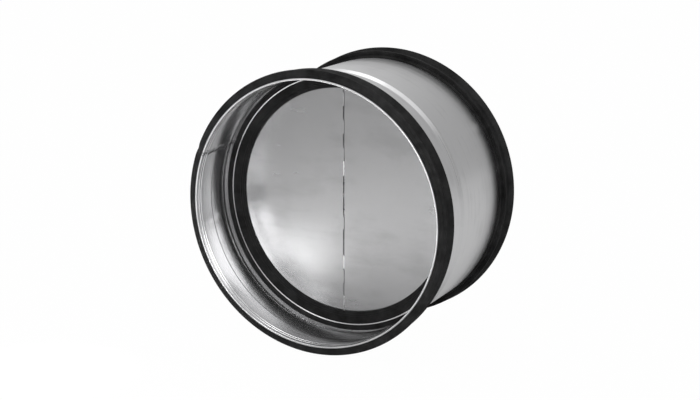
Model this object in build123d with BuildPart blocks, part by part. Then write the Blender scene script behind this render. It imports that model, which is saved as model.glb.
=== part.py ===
from build123d import *
import os
from math import atan2, cos, degrees, radians, sin, sqrt

# Airflow operated damper for a 200 mm round duct. Two half-round blades hang on a
# vertical spindle behind a rubber seat. Springs hold them shut, and the airflow
# pushes them open downstream.
# Frame: the origin is on the duct axis at mid-length, +Y runs downstream with the
# airflow, +Z up along the spindle, +X to the right as seen from upstream.

os.makedirs("parts", exist_ok=True)

# Casing: a round sheet steel spigot at each end, with a rolled stop bead
casing_length = 131.0
spigot_radius = 99.3
casing_sheet = 0.7
hem_depth = 7.2
rim_chamfer = 0.35
hem_groove_places = (3.3, 5.8)
hem_groove_width = 0.5
hem_groove_depth = 0.35
seat_step_length = 1.2
bead_start = 38.4
bead_rise_length = 3.8
bead_top_length = 0.8
bead_fall_length = 2.8
bead_height = 1.3

# Lip seals: a rubber band with two lips, seated behind each hem
seal_start = 1.2
seal_end = 17.3
seal_seat_margin = 3.0
band_thickness = 2.2
band_heel = 1.0
front_lip_height = 3.9
rear_lip_height = 2.9
front_lip_lead = 1.4
front_lip_slope = 2.6
rear_lip_slope = 4.0
rear_lip_inset = 0.9
lip_tip_width = 0.8
lip_tip_slant = 0.25
lip_root_thickness = 0.3
shoulder_length = 0.4
rubber_fit = 0.05

# Seat: a rolled steel ring inside the casing that holds the rubber seat
seat_sheet = 0.8
collar_front = 46.9
collar_depth = 3.3
collar_wall_gap = 3.3
ring_band_length = 9.8
ring_fit = 0.1
wall_seal_recess = 0.9
wall_seal_lead = 0.5
seat_overlap = 5.7
seat_lip_thickness = 1.0
seat_cone_drop = 1.3
seat_root_gap = 0.4
seat_root_depth = 1.1
seat_gap = 0.3
ridge_width = 0.6
ridge_height = 0.3
ridge_insets = (1.6, 3.1)

# Blades: thin half discs folded back at the spindle and rolled round it in turns
blade_margin = 3.3
blade_sheet = 0.6
blade_setback = 3.9
fold_radius = 0.9
swage_radius = 0.7
slit = 0.35
curl_turn = 285.0
top_knuckle_inset = 9.0
bottom_knuckle_inset = 6.2
knuckle_gap = 0.4
left_slots = (0, 2, 4, 9, 13)
right_slots = (1, 3, 10, 11, 14)
knuckle_count = 16
spring_slots = (6, 8)

# Spindle and what lies on it
spindle_radius = 1.5
spindle_clearance = 0.05
spindle_end_length = 1.5
spindle_chamfer = 0.4
clip_groove_radius = 1.15
clip_thickness = 0.6
clip_outer_radius = 2.8
clip_mouth = 1.9
clip_fit = 0.05
spacer_radius = 2.3
end_play = 0.15

# Brackets that carry the spindle, with two ears that stop the open blades
bracket_sheet = 1.2
bracket_clearance = 1.8
bracket_half_width = 6.0
bracket_front_reach = 2.6
ear_start = 4.0
ear_length = 9.0
ear_drop = 8.5
ear_sheet = 1.0
buffer_thickness = 1.2
buffer_inset = 2.4
stop_gap = 0.15
foot_length = 10.0
foot_fit = 0.05
opening_angle = 80.0

# Torsion springs, one for each blade, anchored in cross holes of the spindle
wire_diameter = 1.0
wire_sides = 6
coil_radius = 2.4
coil_turns = 4
spring_leg = 24.0
spring_end_gap = 0.6
anchor_offset = 1.7
anchor_clearance = 0.06
washer_thickness = 0.8

front_y = -casing_length / 2
rear_y = casing_length / 2
inner_radius = spigot_radius - casing_sheet
hem_inner_radius = spigot_radius - 2 * casing_sheet
collar_radius = inner_radius - collar_wall_gap
collar_inner_radius = collar_radius - seat_sheet
blade_radius = collar_inner_radius - blade_margin
seat_lip_radius = blade_radius - seat_overlap
web_front = collar_front + collar_depth
seat_back = front_y + web_front - seat_gap
blade_front = front_y + web_front
blade_back = blade_front + blade_sheet
spindle_y = blade_front + blade_setback
bracket_inner_height = blade_radius + bracket_clearance


def ring(outline):
    """A ring turned about the duct axis from (distance along the duct, radius) points."""
    with BuildPart() as turned:
        with BuildSketch(Plane.YZ):
            with BuildLine():
                Polyline(*outline, close=True)
            make_face()
        revolve(axis=Axis.Y)
    return turned.part


# Casing wall. The sheet is folded back on itself at each rim, with two fine grooves
# pressed into the fold. It steps in to seat the rubber and carries one bead that stops
# the duct pushed over the front spigot.
def end_outline(start, inward):
    """The outer and inner corners of one spigot end, from its rim towards mid-length."""
    def at(distance):
        return start + inward * distance

    seat_end = seal_end + seal_seat_margin
    step_end = seat_end + seat_step_length
    outer = [
        (at(0), spigot_radius),
        (at(hem_depth), spigot_radius),
        (at(hem_depth), inner_radius),
        (at(seat_end), inner_radius),
        (at(step_end), spigot_radius),
    ]
    inner = [(at(0), hem_inner_radius)]
    for place in hem_groove_places:
        inner += [
            (at(place), hem_inner_radius),
            (at(place + hem_groove_width / 2), hem_inner_radius + hem_groove_depth),
            (at(place + hem_groove_width), hem_inner_radius),
        ]
    inner += [(at(seat_end), hem_inner_radius), (at(step_end), inner_radius)]
    return outer, inner


def bead_outline(base_radius):
    """The stop bead in the wall, its upstream side a little longer than the other."""
    rise_end = front_y + bead_start + bead_rise_length
    top_end = rise_end + bead_top_length
    return [
        (front_y + bead_start, base_radius),
        (rise_end, base_radius + bead_height),
        (top_end, base_radius + bead_height),
        (top_end + bead_fall_length, base_radius),
    ]


front_outer, front_inner = end_outline(front_y, 1)
rear_outer, rear_inner = end_outline(rear_y, -1)
outer_wall = front_outer + bead_outline(spigot_radius) + rear_outer[::-1]
inner_wall = front_inner + bead_outline(inner_radius) + rear_inner[::-1]
with BuildPart() as casing:
    add(ring(outer_wall + inner_wall[::-1]))
    rim_faces = casing.faces().filter_by(GeomType.PLANE).group_by(Axis.Y)
    chamfer(rim_faces[0].edges() + rim_faces[-1].edges(), rim_chamfer)
casing.part.label = "casing"
export_step(casing.part, "parts/casing.step")


# Lip seals, one on each spigot. The rear one is the front one mirrored.
def lip_seal(start, inward):
    """A rubber band that wraps the hem and fills its seat, with two lips."""
    band_radius = spigot_radius + band_thickness
    front_lip_radius = band_radius + front_lip_height
    rear_lip_radius = band_radius + rear_lip_height
    front_lip_offset = seal_start + front_lip_lead
    rear_lip_offset = seal_end - rear_lip_inset
    outline = [
        (seal_start, spigot_radius + rubber_fit),
        (seal_start + shoulder_length, band_radius),
        (front_lip_offset, front_lip_radius - lip_tip_slant),
        (front_lip_offset + lip_tip_width, front_lip_radius),
        (front_lip_offset + front_lip_slope, band_radius + lip_root_thickness),
        (rear_lip_offset - rear_lip_slope, band_radius),
        (rear_lip_offset, rear_lip_radius),
        (rear_lip_offset + lip_tip_width, rear_lip_radius - lip_tip_slant),
        (rear_lip_offset - lip_tip_width, band_radius - lip_root_thickness),
        (seal_end, band_radius - band_heel),
        (seal_end, inner_radius + rubber_fit),
        (hem_depth + rubber_fit, inner_radius + rubber_fit),
        (hem_depth + rubber_fit, spigot_radius + rubber_fit),
    ]
    return ring([(start + inward * distance, radius) for distance, radius in outline])


with BuildPart() as front_lip_seal:
    add(lip_seal(front_y, 1))
front_lip_seal.part.label = "front_lip_seal"
export_step(front_lip_seal.part, "parts/front_lip_seal.step")

with BuildPart() as rear_lip_seal:
    add(lip_seal(rear_y, -1))
rear_lip_seal.part.label = "rear_lip_seal"
export_step(rear_lip_seal.part, "parts/rear_lip_seal.step")

# Seat ring: a collar that holds the rubber, a web out to the wall and a band along it
ring_outer_radius = inner_radius - ring_fit
ring_band_end = web_front + ring_band_length
with BuildPart() as seat_ring:
    add(ring([
        (front_y + collar_front, collar_inner_radius),
        (front_y + collar_front, collar_radius),
        (front_y + web_front, collar_radius),
        (front_y + web_front, ring_outer_radius),
        (front_y + ring_band_end, ring_outer_radius),
        (front_y + ring_band_end, ring_outer_radius - seat_sheet),
        (front_y + web_front + seat_sheet, ring_outer_radius - seat_sheet),
        (front_y + web_front + seat_sheet, collar_inner_radius),
    ]))
seat_ring.part.label = "seat_ring"
export_step(seat_ring.part, "parts/seat_ring.step")

# Wall seal: a rubber strip that fills the gap between the collar and the casing, in
# front of the web. It stands proud at the wall and lies back inside the collar's edge.
wall_seal_front = front_y + collar_front - wall_seal_lead
wall_seal_back = front_y + web_front - rubber_fit
wall_seal_inner = collar_radius + rubber_fit
wall_seal_outer = inner_radius - rubber_fit
with BuildPart() as wall_seal:
    add(ring([
        (front_y + collar_front + wall_seal_recess, wall_seal_inner),
        (wall_seal_front, (wall_seal_inner + wall_seal_outer) / 2),
        (wall_seal_front, wall_seal_outer),
        (wall_seal_back, wall_seal_outer),
        (wall_seal_back, wall_seal_inner),
    ]))
wall_seal.part.label = "wall_seal"
export_step(wall_seal.part, "parts/wall_seal.step")

# Rubber seat: a root inside the collar and a cone that ends in a thin lip. Two fine
# ridges run round the cone, and the shut blades rest against its flat back.
seat_root_radius = blade_radius + seat_root_gap
lip_front = seat_back - seat_lip_thickness
cone_slope = seat_cone_drop / (collar_inner_radius - seat_lip_radius)


def cone_y(radius):
    """How far along the duct the front of the rubber cone lies at a radius."""
    return lip_front - cone_slope * (radius - seat_lip_radius)


seat_outline = [(seat_back, seat_lip_radius), (lip_front, seat_lip_radius)]
for ridge_inset in ridge_insets:
    ridge_radius = seat_lip_radius + ridge_inset
    seat_outline += [
        (cone_y(ridge_radius), ridge_radius),
        (cone_y(ridge_radius) - ridge_height, ridge_radius + ridge_width / 2),
        (cone_y(ridge_radius + ridge_width), ridge_radius + ridge_width),
    ]
seat_outline += [
    (cone_y(collar_inner_radius), collar_inner_radius),
    (seat_back + seat_root_depth, collar_inner_radius),
    (seat_back + seat_root_depth, seat_root_radius),
    (seat_back, seat_root_radius),
]
with BuildPart() as seat_seal:
    add(ring(seat_outline))
seat_seal.part.label = "seat_seal"
export_step(seat_seal.part, "parts/seat_seal.step")

# Spindle: a rod through both brackets, with a clip groove near each end and one
# cross hole for each spring's anchor
bracket_outer_height = bracket_inner_height + bracket_sheet
clip_bottom = bracket_outer_height + clip_fit
groove_top = clip_bottom + clip_thickness + clip_fit
spindle_half_length = groove_top + spindle_end_length
first_knuckle_top = blade_radius - top_knuckle_inset
knuckle_pitch = (first_knuckle_top + blade_radius - bottom_knuckle_inset) / knuckle_count
spring_zone_top = first_knuckle_top - spring_slots[0] * knuckle_pitch
spring_zone_bottom = first_knuckle_top - (spring_slots[1] + 1) * knuckle_pitch
spring_middle = (spring_zone_top + spring_zone_bottom) / 2
anchor_heights = (spring_middle + anchor_offset, spring_middle - anchor_offset)
with BuildPart() as spindle:
    with BuildSketch(Plane.XY.offset(-spindle_half_length)):
        with Locations((0, spindle_y)):
            Circle(spindle_radius)
    extrude(amount=2 * spindle_half_length)
    chamfer(spindle.edges().filter_by(GeomType.CIRCLE), spindle_chamfer)
    for groove_bottom in (bracket_outer_height, -groove_top):
        with BuildSketch(Plane.XY.offset(groove_bottom)):
            with Locations((0, spindle_y)):
                Circle(2 * spindle_radius)
                Circle(clip_groove_radius, mode=Mode.SUBTRACT)
        extrude(amount=groove_top - bracket_outer_height, mode=Mode.SUBTRACT)
    for anchor_height in anchor_heights:
        with BuildSketch(Plane.YZ):
            with Locations((spindle_y, anchor_height)):
                Circle(wire_diameter / 2 + anchor_clearance)
        extrude(amount=2 * spindle_radius, both=True, mode=Mode.SUBTRACT)
spindle.part.label = "spindle"
export_step(spindle.part, "parts/spindle.step")


# Brackets. Each is one folded sheet: a tab bored for the spindle, two ears turned
# down beside it, a step up to the casing wall and a foot welded to it.
def along_open_blade(distance, height):
    """A point by the spindle, measured along the open left blade and away from it."""
    angle = radians(opening_angle)
    return (
        -height * sin(angle) - distance * cos(angle),
        spindle_y - height * cos(angle) + distance * sin(angle),
    )


face_height = blade_setback - blade_sheet
buffer_height = face_height - stop_gap
ear_height = buffer_height - buffer_thickness
ear_end = ear_start + ear_length


def sloping_plate(low_height, high_height):
    """A strip beside the spindle, parallel to the open left blade."""
    with BuildSketch() as strip:
        with BuildLine():
            Polyline(
                along_open_blade(ear_start, low_height),
                along_open_blade(ear_end, low_height),
                along_open_blade(ear_end, high_height),
                along_open_blade(ear_start, high_height),
                close=True,
            )
        make_face()
        mirror(about=Plane.YZ)
    return strip.sketch


tab_front = spindle_y - bracket_front_reach
tab_rear = along_open_blade(ear_end, ear_height)[1] + 2 * bracket_sheet
wall_height = sqrt(inner_radius**2 - bracket_half_width**2) - foot_fit
ear_bottom = bracket_inner_height - ear_drop


def spindle_bracket():
    """The upper bracket. The lower one is its mirror image."""
    with BuildPart() as bracket:
        with BuildSketch(Plane.XY.offset(bracket_inner_height)) as tab:
            with Locations((0, tab_front)):
                Rectangle(2 * bracket_half_width, tab_rear - tab_front, align=(Align.CENTER, Align.MIN))
            fillet(tab.vertices().group_by(Axis.Y)[0], bracket_sheet)
            with Locations((0, spindle_y)):
                Circle(spindle_radius + spindle_clearance, mode=Mode.SUBTRACT)
        extrude(amount=bracket_sheet)
        with BuildSketch(Plane.XY.offset(ear_bottom)):
            add(sloping_plate(ear_height - ear_sheet, ear_height))
        extrude(amount=ear_drop)
        with BuildSketch(Plane.YZ):
            with BuildLine():
                Polyline(
                    (tab_rear, bracket_inner_height),
                    (tab_rear + bracket_sheet, bracket_inner_height),
                    (tab_rear + bracket_sheet, wall_height - bracket_sheet),
                    (tab_rear + foot_length, wall_height - bracket_sheet),
                    (tab_rear + foot_length, wall_height),
                    (tab_rear, wall_height),
                    close=True,
                )
            make_face()
        extrude(amount=bracket_half_width, both=True)
    return bracket.part


with BuildPart() as upper_bracket:
    add(spindle_bracket())
upper_bracket.part.label = "upper_bracket"
export_step(upper_bracket.part, "parts/upper_bracket.step")

with BuildPart() as lower_bracket:
    mirror(spindle_bracket(), about=Plane.XY)
lower_bracket.part.label = "lower_bracket"
export_step(lower_bracket.part, "parts/lower_bracket.step")


# Rubber buffers on the ears, where the open blades come to rest
def stop_buffers(bottom):
    """The pair of buffers on one bracket's ears."""
    with BuildPart() as buffers:
        with BuildSketch(Plane.XY.offset(bottom)):
            add(sloping_plate(ear_height, buffer_height))
        extrude(amount=ear_drop - buffer_inset)
    return buffers.part


with BuildPart() as upper_stop_buffers:
    add(stop_buffers(ear_bottom))
upper_stop_buffers.part.label = "upper_stop_buffers"
export_step(upper_stop_buffers.part, "parts/upper_stop_buffers.step")

with BuildPart() as lower_stop_buffers:
    mirror(stop_buffers(ear_bottom), about=Plane.XY)
lower_stop_buffers.part.label = "lower_stop_buffers"
export_step(lower_stop_buffers.part, "parts/lower_stop_buffers.step")


# Retaining clips that snap into the spindle's end grooves
def retaining_clip(bottom):
    """An open clip, its mouth facing downstream."""
    with BuildPart() as clip:
        with BuildSketch(Plane.XY.offset(bottom)):
            with Locations((0, spindle_y)):
                Circle(clip_outer_radius)
                Circle(clip_groove_radius + clip_fit, mode=Mode.SUBTRACT)
                Rectangle(clip_mouth, 2 * clip_outer_radius, align=(Align.CENTER, Align.MIN), mode=Mode.SUBTRACT)
        extrude(amount=clip_thickness)
    return clip.part


with BuildPart() as upper_clip:
    add(retaining_clip(clip_bottom))
upper_clip.part.label = "upper_clip"
export_step(upper_clip.part, "parts/upper_clip.step")

with BuildPart() as lower_clip:
    add(retaining_clip(-clip_bottom - clip_thickness))
lower_clip.part.label = "lower_clip"
export_step(lower_clip.part, "parts/lower_clip.step")


# Spacer sleeves and washers, which keep the knuckles and coils in their places
def sleeve(bottom, top, radius):
    """A plain ring on the spindle between two heights."""
    with BuildPart() as tube:
        with BuildSketch(Plane.XY.offset(bottom)):
            with Locations((0, spindle_y)):
                Circle(radius)
                Circle(spindle_radius + spindle_clearance, mode=Mode.SUBTRACT)
        extrude(amount=top - bottom)
    return tube.part


last_knuckle_bottom = first_knuckle_top - knuckle_count * knuckle_pitch
with BuildPart() as upper_spacer:
    add(sleeve(first_knuckle_top + end_play, bracket_inner_height - end_play, spacer_radius))
upper_spacer.part.label = "upper_spacer"
export_step(upper_spacer.part, "parts/upper_spacer.step")

with BuildPart() as lower_spacer:
    add(sleeve(end_play - bracket_inner_height, last_knuckle_bottom - end_play, spacer_radius))
lower_spacer.part.label = "lower_spacer"
export_step(lower_spacer.part, "parts/lower_spacer.step")

with BuildPart() as spring_washer:
    add(sleeve(
        spring_middle - washer_thickness / 2,
        spring_middle + washer_thickness / 2,
        coil_radius + wire_diameter / 2,
    ))
spring_washer.part.label = "spring_washer"
export_step(spring_washer.part, "parts/spring_washer.step")

# Blades. Each plate ends at a narrow slit beside the spindle's plane. In its own
# slots it carries a tongue, folded back downstream and rolled round the spindle.
curl_radius = spindle_radius + spindle_clearance + blade_sheet / 2
plate_depth = blade_setback - blade_sheet / 2
swage_y = -sqrt((curl_radius + swage_radius) ** 2 - swage_radius**2)
swage_angle = degrees(atan2(swage_y, swage_radius))
tongue_width = knuckle_pitch - knuckle_gap
plate_edge = blade_sheet / 2 + slit


def slot_middle(slot):
    """The height of the middle of a knuckle slot, counted from the top."""
    return first_knuckle_top - (slot + 0.5) * knuckle_pitch


def half_blade(slots):
    """The left-hand blade form, with tongues in the given slots."""
    with BuildPart() as blade:
        with BuildSketch(Plane.XZ.offset(-blade_back)):
            Circle(blade_radius)
            with Locations((-plate_edge, 0)):
                Rectangle(2 * blade_radius, 2 * blade_radius, align=(Align.MIN, Align.CENTER), mode=Mode.SUBTRACT)
            with Locations(*[(-fold_radius, slot_middle(slot)) for slot in slots]):
                Rectangle(fold_radius, knuckle_pitch, align=(Align.MIN, Align.CENTER), mode=Mode.SUBTRACT)
        extrude(amount=blade_sheet)
        for slot in slots:
            with BuildSketch(Plane((0, spindle_y, slot_middle(slot) - tongue_width / 2))):
                with BuildLine():
                    CenterArc((-fold_radius, fold_radius - plate_depth), fold_radius, -90, 90)
                    Line((0, fold_radius - plate_depth), (0, swage_y))
                    CenterArc((swage_radius, swage_y), swage_radius, 180, swage_angle)
                    CenterArc((0, 0), curl_radius, swage_angle, curl_turn)
                trace(line_width=blade_sheet)
            extrude(amount=tongue_width)
    return blade.part


with BuildPart() as left_blade:
    add(half_blade(left_slots))
left_blade.part.label = "left_blade"
export_step(left_blade.part, "parts/left_blade.step")

with BuildPart() as right_blade:
    mirror(half_blade(right_slots), about=Plane.YZ)
right_blade.part.label = "right_blade"
export_step(right_blade.part, "parts/right_blade.step")


# Torsion springs. The coil runs from the anchor in the spindle to a leg that lies
# along the back of the blade.
def torsion_spring():
    """The left blade's spring, its anchor at height zero and its leg above it."""
    coil_height = spring_zone_top - spring_end_gap - wire_diameter / 2 - anchor_heights[0]
    with BuildPart() as spring:
        with BuildSketch(Plane((0, 0, 0), x_dir=(0, 1, 0), z_dir=(1, 0, 0))):
            RegularPolygon(wire_diameter / 2, wire_sides)
        extrude(amount=coil_radius)
        with BuildLine() as coil:
            Helix(coil_height / (coil_turns + 0.25), coil_height, coil_radius, lefthand=True)
        with BuildSketch(Plane(coil.line @ 0, z_dir=coil.line % 0)):
            RegularPolygon(wire_diameter / 2, wire_sides)
        sweep(path=coil.line, is_frenet=True)
        with BuildSketch(Plane(coil.line @ 1, z_dir=(-1, 0, 0))):
            RegularPolygon(wire_diameter / 2, wire_sides)
        extrude(amount=spring_leg)
    return spring.part


with BuildPart() as left_spring:
    with Locations((0, spindle_y, anchor_heights[0])):
        add(torsion_spring())
left_spring.part.label = "left_spring"
export_step(left_spring.part, "parts/left_spring.step")

with BuildPart() as right_spring:
    with Locations(Location((0, spindle_y, anchor_heights[1]), (0, 180, 0))):
        add(torsion_spring())
right_spring.part.label = "right_spring"
export_step(right_spring.part, "parts/right_spring.step")
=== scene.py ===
from math import asin, atan2, cos, pi, radians, sin

import bpy
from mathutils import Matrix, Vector


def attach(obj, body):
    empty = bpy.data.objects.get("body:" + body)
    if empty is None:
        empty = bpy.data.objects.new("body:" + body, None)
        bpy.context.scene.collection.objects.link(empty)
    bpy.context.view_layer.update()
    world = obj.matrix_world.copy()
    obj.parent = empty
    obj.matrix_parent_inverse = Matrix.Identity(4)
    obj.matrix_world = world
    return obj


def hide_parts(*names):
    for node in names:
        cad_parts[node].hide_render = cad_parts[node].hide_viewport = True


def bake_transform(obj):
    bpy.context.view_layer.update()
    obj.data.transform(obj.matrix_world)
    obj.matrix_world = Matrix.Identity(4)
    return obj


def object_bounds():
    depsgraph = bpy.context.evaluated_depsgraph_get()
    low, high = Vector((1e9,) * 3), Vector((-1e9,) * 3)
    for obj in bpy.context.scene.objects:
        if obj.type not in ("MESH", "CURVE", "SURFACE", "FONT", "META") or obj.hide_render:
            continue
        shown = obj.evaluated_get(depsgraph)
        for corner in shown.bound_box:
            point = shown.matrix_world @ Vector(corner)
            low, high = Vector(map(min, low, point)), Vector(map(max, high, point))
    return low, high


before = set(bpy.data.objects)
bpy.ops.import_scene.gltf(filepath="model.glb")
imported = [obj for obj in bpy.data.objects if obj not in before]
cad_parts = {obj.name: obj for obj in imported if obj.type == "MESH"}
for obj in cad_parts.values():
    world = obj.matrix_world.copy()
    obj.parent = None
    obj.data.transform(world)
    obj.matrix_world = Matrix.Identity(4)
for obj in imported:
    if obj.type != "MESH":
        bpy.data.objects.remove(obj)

MM = 0.001

# Casing, in millimetres: its radii, and how deep things lie in from a rim
LENGTH = 131.0
FRONT = -LENGTH / 2
REAR = LENGTH / 2
SPIGOT = 99.3
SHEET = 0.7
INNER = SPIGOT - SHEET
HEM = SPIGOT - 2 * SHEET
HEM_END = 7.2
HEM_GROOVES = (3.55, 6.05)
GROOVE_HALF = 0.25
GROOVE_DEPTH = 0.35
STEP_START = 20.3
STEP_END = 21.5
BEAD_START = 38.4
BEAD_CREST = 42.67
BEAD_END = 45.8
BEAD_HEIGHT = 1.46
NEAR = 0.1

# How much the casing's corners are rounded
FOLD = 0.65
GROOVE_ROUND = 0.05
STEP_ROUND = 0.3
BEAD_ROUND = 0.4
BEAD_FOOT_ROUND = 0.9

# Lengthwise seam: its angle from +X towards +Z, its ridge and the burnt line along each edge
SEAM_ANGLE = 158.0
SEAM_EDGE = 0.9
SEAM_LINE = (0.2, 0.6)
SEAM_RIDGE_HALF = 2.2
SEAM_RIDGE_HEIGHT = 0.5

# Lip seals: depths and radii round the outline, and the places near the tips where lips are bent
SEAL_OUTLINE = (
    (1.2, 99.35), (1.5, 101.5), (1.8, 102.9), (2.0, 102.95), (2.0, 103.15), (2.6, 105.15),
    (3.4, 105.4), (5.2, 101.8), (12.4, 101.5), (16.4, 104.4), (17.2, 104.15), (15.6, 101.2),
    (17.3, 100.5), (17.3, 98.65), (7.25, 98.65), (7.25, 99.35),
)
SEAL_ROUND = 0.12
RIM_LIP = 105.2
RIM_LIP_DEPTH = 3.0
INNER_LIP = 104.2
INNER_LIP_DEPTH = 16.8

# Small dents at the front, each in the hem and in the step behind it
DENT_ANGLES = (189, 232)
HEM_DENT_DEPTH = 4.5
STEP_DENT_DEPTH = 20.5
DENT_REACH = 2.5

# Springs: the wire and coil are radii, and the anchors are heights along the spindle
SPINDLE_Y = -11.4
WIRE = 0.5
WIRE_SIDES = 12
COIL = 2.4
COIL_TURNS = 11.25
COIL_HEIGHT = 12.875
LEFT_ANCHOR = 5.525
RIGHT_ANCHOR = 2.125
ANCHOR_BEND = 0.75
ANCHOR_END = 1.3
SPRING_LEG = 24.0

# Fineness of the meshes: steps, the angles in degrees that stay sharp and what counts as one point
RING_STEPS = 256
ROUND_STEPS = 4
COIL_STEPS = 24
BEND_STEPS = 8
RING_CREASE = 30
WIRE_CREASE = 50
ONE_POINT = 0.001

cad_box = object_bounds()


# Modelling tools
def clear_picks(piece):
    """Makes a piece the active one, with nothing in its mesh selected."""
    bpy.ops.object.select_all(action="DESELECT")
    piece.select_set(True)
    bpy.context.view_layer.objects.active = piece
    bpy.ops.object.mode_set(mode="EDIT")
    bpy.ops.mesh.select_all(action="DESELECT")
    bpy.ops.object.mode_set(mode="OBJECT")


def pick(piece, wanted):
    """Opens a piece with the vertices selected whose place, in millimetres, the test accepts."""
    clear_picks(piece)
    for vertex in piece.data.vertices:
        if wanted(vertex.co / MM):
            vertex.select = True
    bpy.ops.object.mode_set(mode="EDIT")


def end_edit():
    bpy.ops.object.mode_set(mode="OBJECT")


def turned(name, outline, *rounds):
    """A ring spun round the duct axis from a closed outline of (along, radius) in millimetres.

    Each pair in rounds is a test of a corner's place and the radius that it is rounded to.
    """
    bpy.ops.object.select_all(action="DESELECT")
    along, radius = outline[0]
    bpy.ops.mesh.primitive_plane_add(size=MM, location=(0, along * MM, radius * MM))
    piece = bpy.context.object
    piece.name = name
    bpy.ops.object.transform_apply(location=True, rotation=False, scale=False)
    bpy.ops.object.mode_set(mode="EDIT")
    bpy.ops.mesh.select_all(action="SELECT")
    bpy.ops.mesh.merge(type="CENTER")
    for next_along, next_radius in outline[1:]:
        step = (0, (next_along - along) * MM, (next_radius - radius) * MM)
        bpy.ops.mesh.extrude_vertices_move(TRANSFORM_OT_translate={"value": step})
        along, radius = next_along, next_radius
    end_edit()
    piece.data.vertices[0].select = True
    bpy.ops.object.mode_set(mode="EDIT")
    bpy.ops.mesh.edge_face_add()
    end_edit()
    for wanted, corner in rounds:
        pick(piece, wanted)
        bpy.ops.mesh.bevel(affect="VERTICES", offset=corner * MM, segments=ROUND_STEPS)
        end_edit()
    pick(piece, lambda place: True)
    bpy.ops.mesh.spin(steps=RING_STEPS, angle=2 * pi, center=(0, 0, 0), axis=(0, 1, 0))
    bpy.ops.mesh.select_all(action="SELECT")
    bpy.ops.mesh.remove_doubles(threshold=ONE_POINT * MM)
    bpy.ops.mesh.normals_make_consistent(inside=False)
    end_edit()
    bpy.ops.object.shade_smooth_by_angle(angle=radians(RING_CREASE))
    return piece


def on_ring(along, radius, angle):
    """The point, in millimetres, at a distance, a radius and an angle from +X towards +Z."""
    return Vector((radius * cos(radians(angle)), along, radius * sin(radians(angle))))


def pull(piece, point, move, reach):
    """Moves the surface near a point, fading out with distance, all in millimetres."""
    pick(piece, lambda place: (place - point).length < reach / 4)
    bpy.ops.transform.translate(
        value=move * MM,
        use_proportional_edit=True,
        proportional_edit_falloff="SMOOTH",
        proportional_size=reach * MM,
    )
    end_edit()


def dress(piece, body, slot, material, *nodes):
    """Gives a piece its material and its place on a body, and hides the nodes it stands for."""
    piece.data.materials.clear()
    piece.data.materials.append(material)
    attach(piece, body)
    if nodes:
        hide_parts(*nodes)


# Materials
class Graph:
    """Short calls that add nodes to a node tree and link them up."""

    def __init__(self, owner):
        owner.use_nodes = True
        self.nodes = owner.node_tree.nodes
        self.links = owner.node_tree.links

    def fill(self, socket, value):
        """Puts a value or another node's output into a socket."""
        if isinstance(value, bpy.types.NodeSocket):
            self.links.new(value, socket)
        else:
            socket.default_value = value

    def add(self, kind, result, **inputs):
        """Adds a node, fills its inputs by name and returns one of its outputs."""
        node = self.nodes.new("ShaderNode" + kind)
        for name, value in inputs.items():
            self.fill(node.inputs[name.replace("_", " ")], value)
        return node.outputs[result]

    def maths(self, operation, first, second=0.0):
        """The result of one sum of two values."""
        node = self.nodes.new("ShaderNodeMath")
        node.operation = operation
        self.fill(node.inputs[0], first)
        self.fill(node.inputs[1], second)
        return node.outputs["Value"]

    def ranged(self, factor, low, high, start=0.3, end=0.7):
        """A value that runs from low to high while the factor goes from start to end."""
        span = {"From_Min": start, "From_Max": end, "To_Min": low, "To_Max": high}
        return self.add("MapRange", "Result", Value=factor, **span)

    def blended(self, factor, first, second):
        """A shader that turns from the first to the second with the factor."""
        node = self.nodes.new("ShaderNodeMixShader")
        for socket, value in zip(node.inputs, (factor, first, second)):
            self.links.new(value, socket)
        return node.outputs["Shader"]


class Shader(Graph):
    """A material with a Principled shader and calls for its pattern and finish."""

    def __init__(self, name, **values):
        self.material = bpy.data.materials.new(name)
        super().__init__(self.material)
        self.surface = self.nodes["Principled BSDF"]
        self.place = self.add("TexCoord", "Object")
        for socket, value in values.items():
            self.surface.inputs[socket.replace("_", " ")].default_value = value

    def noise(self, scale, detail=3.0, roughness=0.5, place=None):
        """Cloudy noise, with so many waves to the metre or to a unit of a stretched place."""
        place = place or self.place
        sizes = {"Scale": scale, "Detail": detail, "Roughness": roughness}
        return self.add("TexNoise", "Fac", Vector=place, **sizes)

    def stretched(self, across, along_duct, up):
        """The place, scaled by a different amount along each axis."""
        return self.add("Mapping", "Vector", Vector=self.place, Scale=(across, along_duct, up))

    def tones(self, factor, low, high, start=0.3, end=0.7):
        """A grey that runs from a low to a high tone while the factor goes from start to end."""
        node = self.nodes.new("ShaderNodeValToRGB")
        for element, position, tone in zip(node.color_ramp.elements, (start, end), (low, high)):
            element.position = position
            element.color = (tone, tone, tone * 1.01, 1)
        self.links.new(factor, node.inputs["Fac"])
        return node.outputs["Color"]

    def mixed(self, factor, first, tone):
        """A colour that turns to a grey tone with the factor."""
        node = self.nodes.new("ShaderNodeMix")
        node.data_type = "RGBA"
        self.links.new(factor, node.inputs["Factor"])
        self.links.new(first, node.inputs["A"])
        node.inputs["B"].default_value = (tone, tone, tone, 1)
        return node.outputs["Result"]

    def colour(self, value):
        self.links.new(value, self.surface.inputs["Base Color"])

    def rough(self, value):
        self.links.new(value, self.surface.inputs["Roughness"])

    def bump(self, height, depth, strength=1.0, after=None):
        """Adds relief so many millimetres deep, on top of an earlier bump if one is given."""
        normal = self.add("Bump", "Normal", Height=height, Distance=depth * MM, Strength=strength)
        if after:
            self.links.new(after, normal.node.inputs["Normal"])
        self.links.new(normal, self.surface.inputs["Normal"])
        return normal


def rolled_marks(shader):
    """Fine lines round the duct, left by the rollers."""
    return shader.noise(1, detail=3, roughness=0.55, place=shader.stretched(3, 240, 3))


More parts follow.
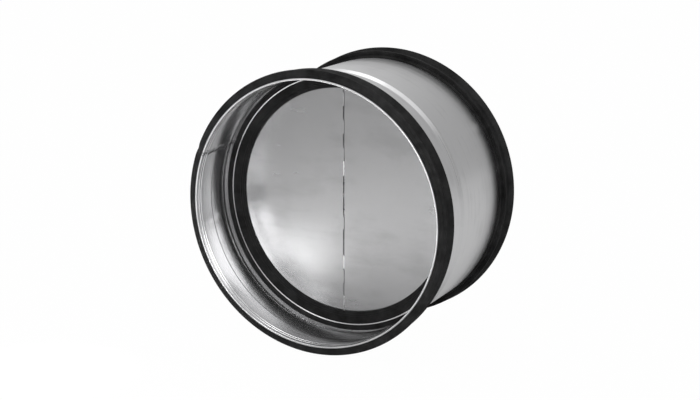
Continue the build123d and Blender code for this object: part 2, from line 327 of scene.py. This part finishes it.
def galvanised_sheet(name="galvanised_sheet", smooth=0.13, worn=0.2, low=0.6, high=0.76):
    """Galvanised steel with a soft mottle and fine rolling marks, as rough and grey as asked."""
    shader = Shader(name, Metallic=1.0)
    marks = rolled_marks(shader)
    cloudy = shader.maths("ADD", shader.noise(45, detail=4), marks)
    shader.tone = shader.tones(cloudy, low, high, start=0.75, end=1.25)
    shader.colour(shader.tone)
    shader.rough(shader.ranged(marks, smooth, worn))
    waves = shader.bump(shader.noise(14, detail=1), depth=0.2, strength=0.3)
    shader.shape = shader.bump(marks, depth=0.02, strength=0.35, after=waves)
    return shader


def casing_sheet(name, smooth, worn, low, high, jitter, burn):
    """Galvanised sheet with the lengthwise seam, which strays by the jitter, in millimetres.

    It stands up as a ridge, and its two edges turn to the burn's tone in short beads.
    """
    shader = galvanised_sheet(name, smooth, worn, low, high)
    axes = shader.add("SeparateXYZ", "X", Vector=shader.place).node.outputs
    angle = shader.maths("ARCTAN2", axes["Z"], axes["X"])
    turn = shader.maths("SUBTRACT", angle, radians(SEAM_ANGLE))
    arc = shader.maths("MULTIPLY", turn, INNER * MM)
    wander = shader.noise(1, detail=3, roughness=0.6, place=shader.stretched(0, 220, 0))
    shifted = shader.maths("ADD", arc, shader.ranged(wander, -jitter * MM, jitter * MM))
    away = shader.maths("ABSOLUTE", shifted)
    edges = shader.maths("ABSOLUTE", shader.maths("SUBTRACT", away, SEAM_EDGE * MM))
    line = shader.ranged(edges, 1.0, 0.0, start=SEAM_LINE[0] * MM, end=SEAM_LINE[1] * MM)
    spots = shader.noise(1, detail=2, roughness=0.5, place=shader.stretched(0, 500, 0))
    beads = shader.ranged(spots, 0.5, 1.0, start=0.4, end=0.6)
    shader.colour(shader.mixed(shader.maths("MULTIPLY", line, beads), shader.tone, burn))
    ridge = shader.ranged(away, 1.0, 0.0, start=0.0, end=SEAM_RIDGE_HALF * MM)
    shader.bump(ridge, depth=SEAM_RIDGE_HEIGHT, strength=0.8, after=shader.shape)
    return shader.material


def blade_sheet():
    """Mill-finish aluminium sheet, duller than the casing, with faint cloudy patches."""
    shader = Shader("blade_sheet", Metallic=1.0)
    streaks = shader.noise(1, detail=4, roughness=0.6, place=shader.stretched(18, 18, 90))
    cloudy = shader.maths("ADD", shader.noise(28, detail=5, roughness=0.6), streaks)
    shader.colour(shader.tones(cloudy, low=0.355, high=0.4, start=0.75, end=1.25))
    shader.rough(shader.ranged(streaks, 0.21, 0.28))
    shader.bump(shader.noise(24, detail=3), depth=0.2, strength=0.2)
    return shader.material


def black_rubber(name, tone, roughness):
    """Black rubber with a faint dusty bloom."""
    shader = Shader(name, Metallic=0.0, IOR=1.5, Specular_IOR_Level=0.09)
    bloom = shader.noise(70, detail=5, roughness=0.65)
    shader.colour(shader.tones(bloom, tone * 0.6, tone * 3))
    shader.rough(shader.ranged(shader.noise(200, detail=4), roughness - 0.06, roughness + 0.06))
    shader.bump(shader.noise(1500, detail=3), depth=0.02, strength=0.4)
    return shader.material


def plated_steel(name, tone, roughness):
    """Plain drawn or folded steel for the spindle, springs and clips."""
    shader = Shader(name, Metallic=1.0)
    shader.colour(shader.tones(shader.noise(300, detail=4), tone * 0.85, tone))
    shader.rough(shader.ranged(shader.noise(500, detail=3), roughness - 0.05, roughness + 0.07))
    shader.bump(shader.noise(2500, detail=2), depth=0.01, strength=0.4)
    return shader.material


def natural_nylon():
    """Milky nylon for the spacers and the washer."""
    shader = Shader("nylon", Metallic=0.0, IOR=1.53)
    shader.colour(shader.tones(shader.noise(400, detail=3), 0.7, 0.78))
    shader.rough(shader.ranged(shader.noise(600, detail=3), 0.35, 0.45))
    shader.bump(shader.noise(2000, detail=2), depth=0.01, strength=0.4)
    return shader.material


CASING_INSIDE = casing_sheet(
    "casing_inside", smooth=0.16, worn=0.23, low=0.6, high=0.76, jitter=1.1, burn=0.03
)
CASING_OUTSIDE = casing_sheet(
    "casing_outside", smooth=0.27, worn=0.33, low=0.64, high=0.71, jitter=0.2, burn=0.3
)
SHEET_METAL = galvanised_sheet().material
BLADE_METAL = blade_sheet()
LIP_RUBBER = black_rubber("lip_rubber", tone=0.009, roughness=0.5)
SEAT_RUBBER = black_rubber("seat_rubber", tone=0.007, roughness=0.5)
SPINDLE_STEEL = plated_steel("spindle_steel", tone=0.62, roughness=0.25)
SPRING_STEEL = plated_steel("spring_steel", tone=0.5, roughness=0.28)
NYLON = natural_nylon()


# Casing
def end_walls(start, inward):
    """The outer and inner outline of one spigot end, from its rim towards mid-length."""
    outer = [
        (0, SPIGOT), (HEM_END, SPIGOT), (HEM_END, INNER), (STEP_START, INNER), (STEP_END, SPIGOT),
    ]
    inner = [(0, HEM)]
    for middle in HEM_GROOVES:
        inner.append((middle - GROOVE_HALF, HEM))
        inner.append((middle, HEM + GROOVE_DEPTH))
        inner.append((middle + GROOVE_HALF, HEM))
    inner += [(STEP_START, HEM), (STEP_END, INNER)]
    return [[(start + inward * depth, radius) for depth, radius in wall] for wall in (outer, inner)]


def bead(radius):
    """The stop bead, its upstream side a little longer than the other."""
    return [
        (FRONT + BEAD_START, radius), (FRONT + BEAD_CREST, radius + BEAD_HEIGHT),
        (FRONT + BEAD_END, radius),
    ]


def depth_in(place):
    """How far a place is from the nearer rim."""
    return REAR - abs(place.y)


def at_rim(place):
    return depth_in(place) < NEAR


def in_groove(place):
    return FOLD + NEAR < depth_in(place) < HEM_END - NEAR and place.z < INNER - NEAR


def at_hem_end_or_step(place):
    return HEM_END - NEAR < depth_in(place) < BEAD_START - NEAR


def on_bead(place):
    """Accepts the bead's outer corners and its inner crest."""
    return depth_in(place) > BEAD_START - NEAR and place.z > SPIGOT - NEAR


def at_bead_foot(place):
    """Accepts the two corners inside the casing where the bead begins and ends."""
    return depth_in(place) > BEAD_START - NEAR and place.z < SPIGOT - NEAR


def casing():
    """The sheet steel body: folded hems, seal seats, the stop bead and the plain wall."""
    front_outer, front_inner = end_walls(FRONT, 1)
    rear_outer, rear_inner = end_walls(REAR, -1)
    outline = front_outer + bead(SPIGOT) + rear_outer[::-1]
    outline += (front_inner + bead(INNER) + rear_inner[::-1])[::-1]
    rounds = (
        (at_rim, FOLD),
        (in_groove, GROOVE_ROUND),
        (at_hem_end_or_step, STEP_ROUND),
        (on_bead, BEAD_ROUND),
        (at_bead_foot, BEAD_FOOT_ROUND),
    )
    piece = turned("casing_shell", outline, *rounds)
    dress(piece, "casing", "galvanised_sheet", CASING_INSIDE, "casing")
    piece.data.materials.append(CASING_OUTSIDE)
    for face in piece.data.polygons:
        outward = Vector((face.center.x, 0, face.center.z))
        if face.normal.dot(outward) > 0:
            face.material_index = 1
    return piece


shell = casing()
for angle in DENT_ANGLES:
    hem_place = on_ring(FRONT + HEM_DENT_DEPTH, HEM, angle)
    step_place = on_ring(FRONT + STEP_DENT_DEPTH, HEM, angle + 1)
    pull(shell, hem_place, on_ring(0, -0.25, angle), DENT_REACH)
    pull(shell, step_place, on_ring(0, 0.3, angle), DENT_REACH)


# Lip seals
def lip_seal(name, node, start, inward):
    """A rubber band over the hem, with two lips and a fine crease on the slope of the first."""
    outline = [(start + inward * depth, radius) for depth, radius in SEAL_OUTLINE]
    piece = turned(name, outline, (lambda place: True, SEAL_ROUND))
    dress(piece, "casing", "lip_rubber", LIP_RUBBER, node)
    return piece


def kink(seal, along, radius, angle, aside, inward, reach):
    """Bends a lip aside along the duct and inwards."""
    pull(seal, on_ring(along, radius, angle), on_ring(aside, -inward, angle), reach)


front_seal = lip_seal("front_seal", "front_lip_seal", FRONT, 1)
rear_seal = lip_seal("rear_seal", "rear_lip_seal", REAR, -1)
front_tip = FRONT + RIM_LIP_DEPTH
rear_tip = REAR - RIM_LIP_DEPTH
rear_inner_tip = REAR - INNER_LIP_DEPTH
kink(front_seal, front_tip, RIM_LIP, angle=SEAM_ANGLE, aside=0.3, inward=0.5, reach=4)
kink(front_seal, front_tip, RIM_LIP, angle=97, aside=0.2, inward=0.3, reach=3)
kink(rear_seal, rear_tip, RIM_LIP, angle=78, aside=-0.2, inward=0.6, reach=4)
kink(rear_seal, rear_inner_tip, INNER_LIP, angle=34, aside=1.2, inward=0.8, reach=5)


# Springs
def torsion_spring(name, node, height, flipped):
    """A close-wound spring: an anchor through the spindle, a coil and a leg on the blade."""
    start_angle = -asin(ANCHOR_BEND / (COIL - ANCHOR_BEND))
    turn = 2 * pi * COIL_TURNS + start_angle
    bend = Vector((cos(start_angle), sin(start_angle), 0)) * (COIL - ANCHOR_BEND)
    wire_reach = 1.02 * WIRE

    def at_top_end(place):
        """Accepts the ring of points where the coil ends and the leg begins."""
        return place.z > COIL_HEIGHT - wire_reach and abs(place.x) < 0.01 and place.y < 0

    def at_bottom_end(place):
        """Accepts the ring of points where the coil begins."""
        off_start = abs(atan2(place.y, place.x) - start_angle)
        return place.z < wire_reach and off_start < 0.001

    bpy.ops.object.select_all(action="DESELECT")
    bpy.ops.mesh.primitive_circle_add(
        vertices=WIRE_SIDES, radius=WIRE * MM, rotation=(pi / 2, 0, 0)
    )
    piece = bpy.context.object
    piece.name = name
    piece.location = (COIL * MM * cos(start_angle), COIL * MM * sin(start_angle), 0)
    piece.rotation_euler.z = start_angle
    bpy.ops.object.transform_apply(location=True, rotation=True, scale=False)
    bpy.ops.object.modifier_add(type="SCREW")
    coil = piece.modifiers[-1]
    coil.angle = -turn
    coil.screw_offset = COIL_HEIGHT * MM
    coil.steps = coil.render_steps = round(COIL_STEPS * COIL_TURNS)
    bpy.ops.object.modifier_apply(modifier=coil.name)

    # The leg, along the blade
    pick(piece, at_top_end)
    leg = (-SPRING_LEG * MM, 0, 0)
    bpy.ops.mesh.extrude_region_move(TRANSFORM_OT_translate={"value": leg})
    bpy.ops.mesh.edge_face_add()
    end_edit()

    # The anchor, bent inwards and straight through the spindle
    pick(piece, at_bottom_end)
    bpy.ops.mesh.spin(
        steps=BEND_STEPS, angle=pi / 2 - start_angle, center=bend * MM, axis=(0, 0, 1)
    )
    anchor = (-(bend.x + ANCHOR_END) * MM, 0, 0)
    bpy.ops.mesh.extrude_region_move(TRANSFORM_OT_translate={"value": anchor})
    bpy.ops.mesh.edge_face_add()
    bpy.ops.mesh.select_all(action="SELECT")
    bpy.ops.mesh.normals_make_consistent(inside=False)
    end_edit()
    bpy.ops.object.shade_smooth_by_angle(angle=radians(WIRE_CREASE))

    piece.location = (0, SPINDLE_Y * MM, height * MM)
    piece.rotation_euler.y = pi if flipped else 0
    bpy.ops.object.transform_apply(location=True, rotation=True, scale=False)
    piece.data.materials.append(SPRING_STEEL)
    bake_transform(piece)
    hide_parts(node)


torsion_spring("left_coil", "left_spring", LEFT_ANCHOR, flipped=False)
torsion_spring("right_coil", "right_spring", RIGHT_ANCHOR, flipped=True)


# Nodes that keep their own shape and take a finish
FINISHES = (
    (SHEET_METAL, "seat_ring", "upper_bracket", "lower_bracket"),
    (SEAT_RUBBER, "seat_seal", "wall_seal", "upper_stop_buffers", "lower_stop_buffers"),
    (BLADE_METAL, "left_blade", "right_blade"),
    (SPINDLE_STEEL, "spindle"),
    (SPRING_STEEL, "upper_clip", "lower_clip"),
    (NYLON, "upper_spacer", "lower_spacer", "spring_washer"),
)
for material, *names in FINISHES:
    for name in names:
        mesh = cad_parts[name].data
        mesh.materials.clear()
        mesh.materials.append(material)


# Studio, in metres
FLOOR_SIZE = 12
FLOOR_TONE = 0.55
WHITE_TO_CAMERA = 0.985
WHITE_IN_METAL = 0.2
DOWN = (0, 0, -1)


def floor():
    """A pale floor that keeps a trace of the damper's shadow and shows white to the camera."""
    bpy.ops.object.select_all(action="DESELECT")
    bpy.ops.mesh.primitive_plane_add(size=FLOOR_SIZE, location=(0, 0, cad_box[0][2]))
    plane = bpy.context.object
    plane.name = "studio_floor"
    material = bpy.data.materials.new("studio_floor")
    graph = Graph(material)
    surface = graph.nodes["Principled BSDF"]
    surface.inputs["Base Color"].default_value = (FLOOR_TONE, FLOOR_TONE, FLOOR_TONE, 1)
    surface.inputs["Roughness"].default_value = 0.9
    glow = graph.add("Emission", "Emission", Color=(1, 1, 1, 1), Strength=1.0)
    seen = graph.add("LightPath", "Is Camera Ray").node.outputs
    mirrored = graph.maths("MULTIPLY", seen["Is Glossy Ray"], WHITE_IN_METAL)
    direct = graph.maths("MULTIPLY", seen["Is Camera Ray"], WHITE_TO_CAMERA)
    share = graph.maths("ADD", direct, mirrored)
    shown = graph.blended(share, surface.outputs["BSDF"], glow)
    graph.links.new(shown, graph.nodes["Material Output"].inputs["Surface"])
    plane.data.materials.append(material)


def sky():
    """White to the camera, and to the rest a soft light that comes from above and the left."""
    world = bpy.data.worlds.new("studio")
    bpy.context.scene.world = world
    graph = Graph(world)
    aim = graph.add("TexCoord", "Generated")
    axes = graph.add("SeparateXYZ", "X", Vector=aim).node.outputs
    above = graph.ranged(axes["Z"], low=0.45, high=1.2, start=0.55, end=0.9)
    left = graph.ranged(axes["X"], low=0.3, high=0.0, start=-1.0, end=0.2)
    light = graph.nodes["Background"]
    light.inputs["Color"].default_value = (1, 1, 1, 1)
    graph.links.new(graph.maths("ADD", above, left), light.inputs["Strength"])
    white = graph.add("Background", "Background", Color=(1, 1, 1, 1), Strength=1.0)
    seen = graph.add("LightPath", "Is Camera Ray")
    shown = graph.blended(seen, light.outputs["Background"], white)
    graph.links.new(shown, graph.nodes["World Output"].inputs["Surface"])


def lamp(name, place, size, power, aim=None, beam=180, turn=0):
    """A soft rectangular lamp, in metres, watts and degrees, turned about its own beam.

    It is aimed at the middle of the damper unless it is given a direction.
    """
    light = bpy.data.lights.new(name, "AREA")
    light.shape = "RECTANGLE"
    light.spread = radians(beam)
    light.size, light.size_y = size
    light.energy = power
    holder = bpy.data.objects.new(name, light)
    bpy.context.scene.collection.objects.link(holder)
    holder.location = place
    direction = Vector(aim) if aim else -Vector(place)
    holder.rotation_euler = direction.to_track_quat("-Z", "Y").to_euler()
    holder.rotation_euler.rotate_axis("Z", radians(turn))


floor()
sky()
lamp("front_lamp", (0.765, -1.46, 0.42), size=(0.8, 0.9), power=8)
lamp("fill_lamp", (0.1, -1.45, 0.85), size=(0.7, 0.5), power=2)
lamp("rear_lamp", (-0.4, 0.7, 1.25), size=(0.8, 0.5), power=1.2)

# Pools of light on the floor, which the blades and the inner wall mirror
lamp("wide_floor_lamp", (-0.13, -0.36, 0.3), size=(0.3, 0.2), power=0.62, aim=DOWN, beam=80)
lamp(
    "left_floor_lamp", (-0.15, -0.185, 0.03), size=(0.04, 0.04), power=0.22,
    aim=DOWN, beam=45,
)
lamp(
    "front_floor_lamp", (0.14, -0.42, 0.2), size=(0.3, 0.08), power=0.6,
    aim=DOWN, beam=40, turn=-50,
)

# Camera, at the photograph's viewing angle
CAMERA_PLACE = (0.4967, -0.9602, 0.2657)
CAMERA_AZIMUTH = 27.48
CAMERA_ELEVATION = 13.94
CAMERA_LENS = 75.8
CAMERA_SENSOR = 36.0
CAMERA_TURN = (radians(90 - CAMERA_ELEVATION), 0, radians(CAMERA_AZIMUTH))
bpy.ops.object.camera_add(location=CAMERA_PLACE, rotation=CAMERA_TURN)
camera = bpy.context.object
camera.data.lens = CAMERA_LENS
camera.data.sensor_width = CAMERA_SENSOR
bpy.context.scene.camera = camera
bpy.context.scene.view_settings.view_transform = "Standard"
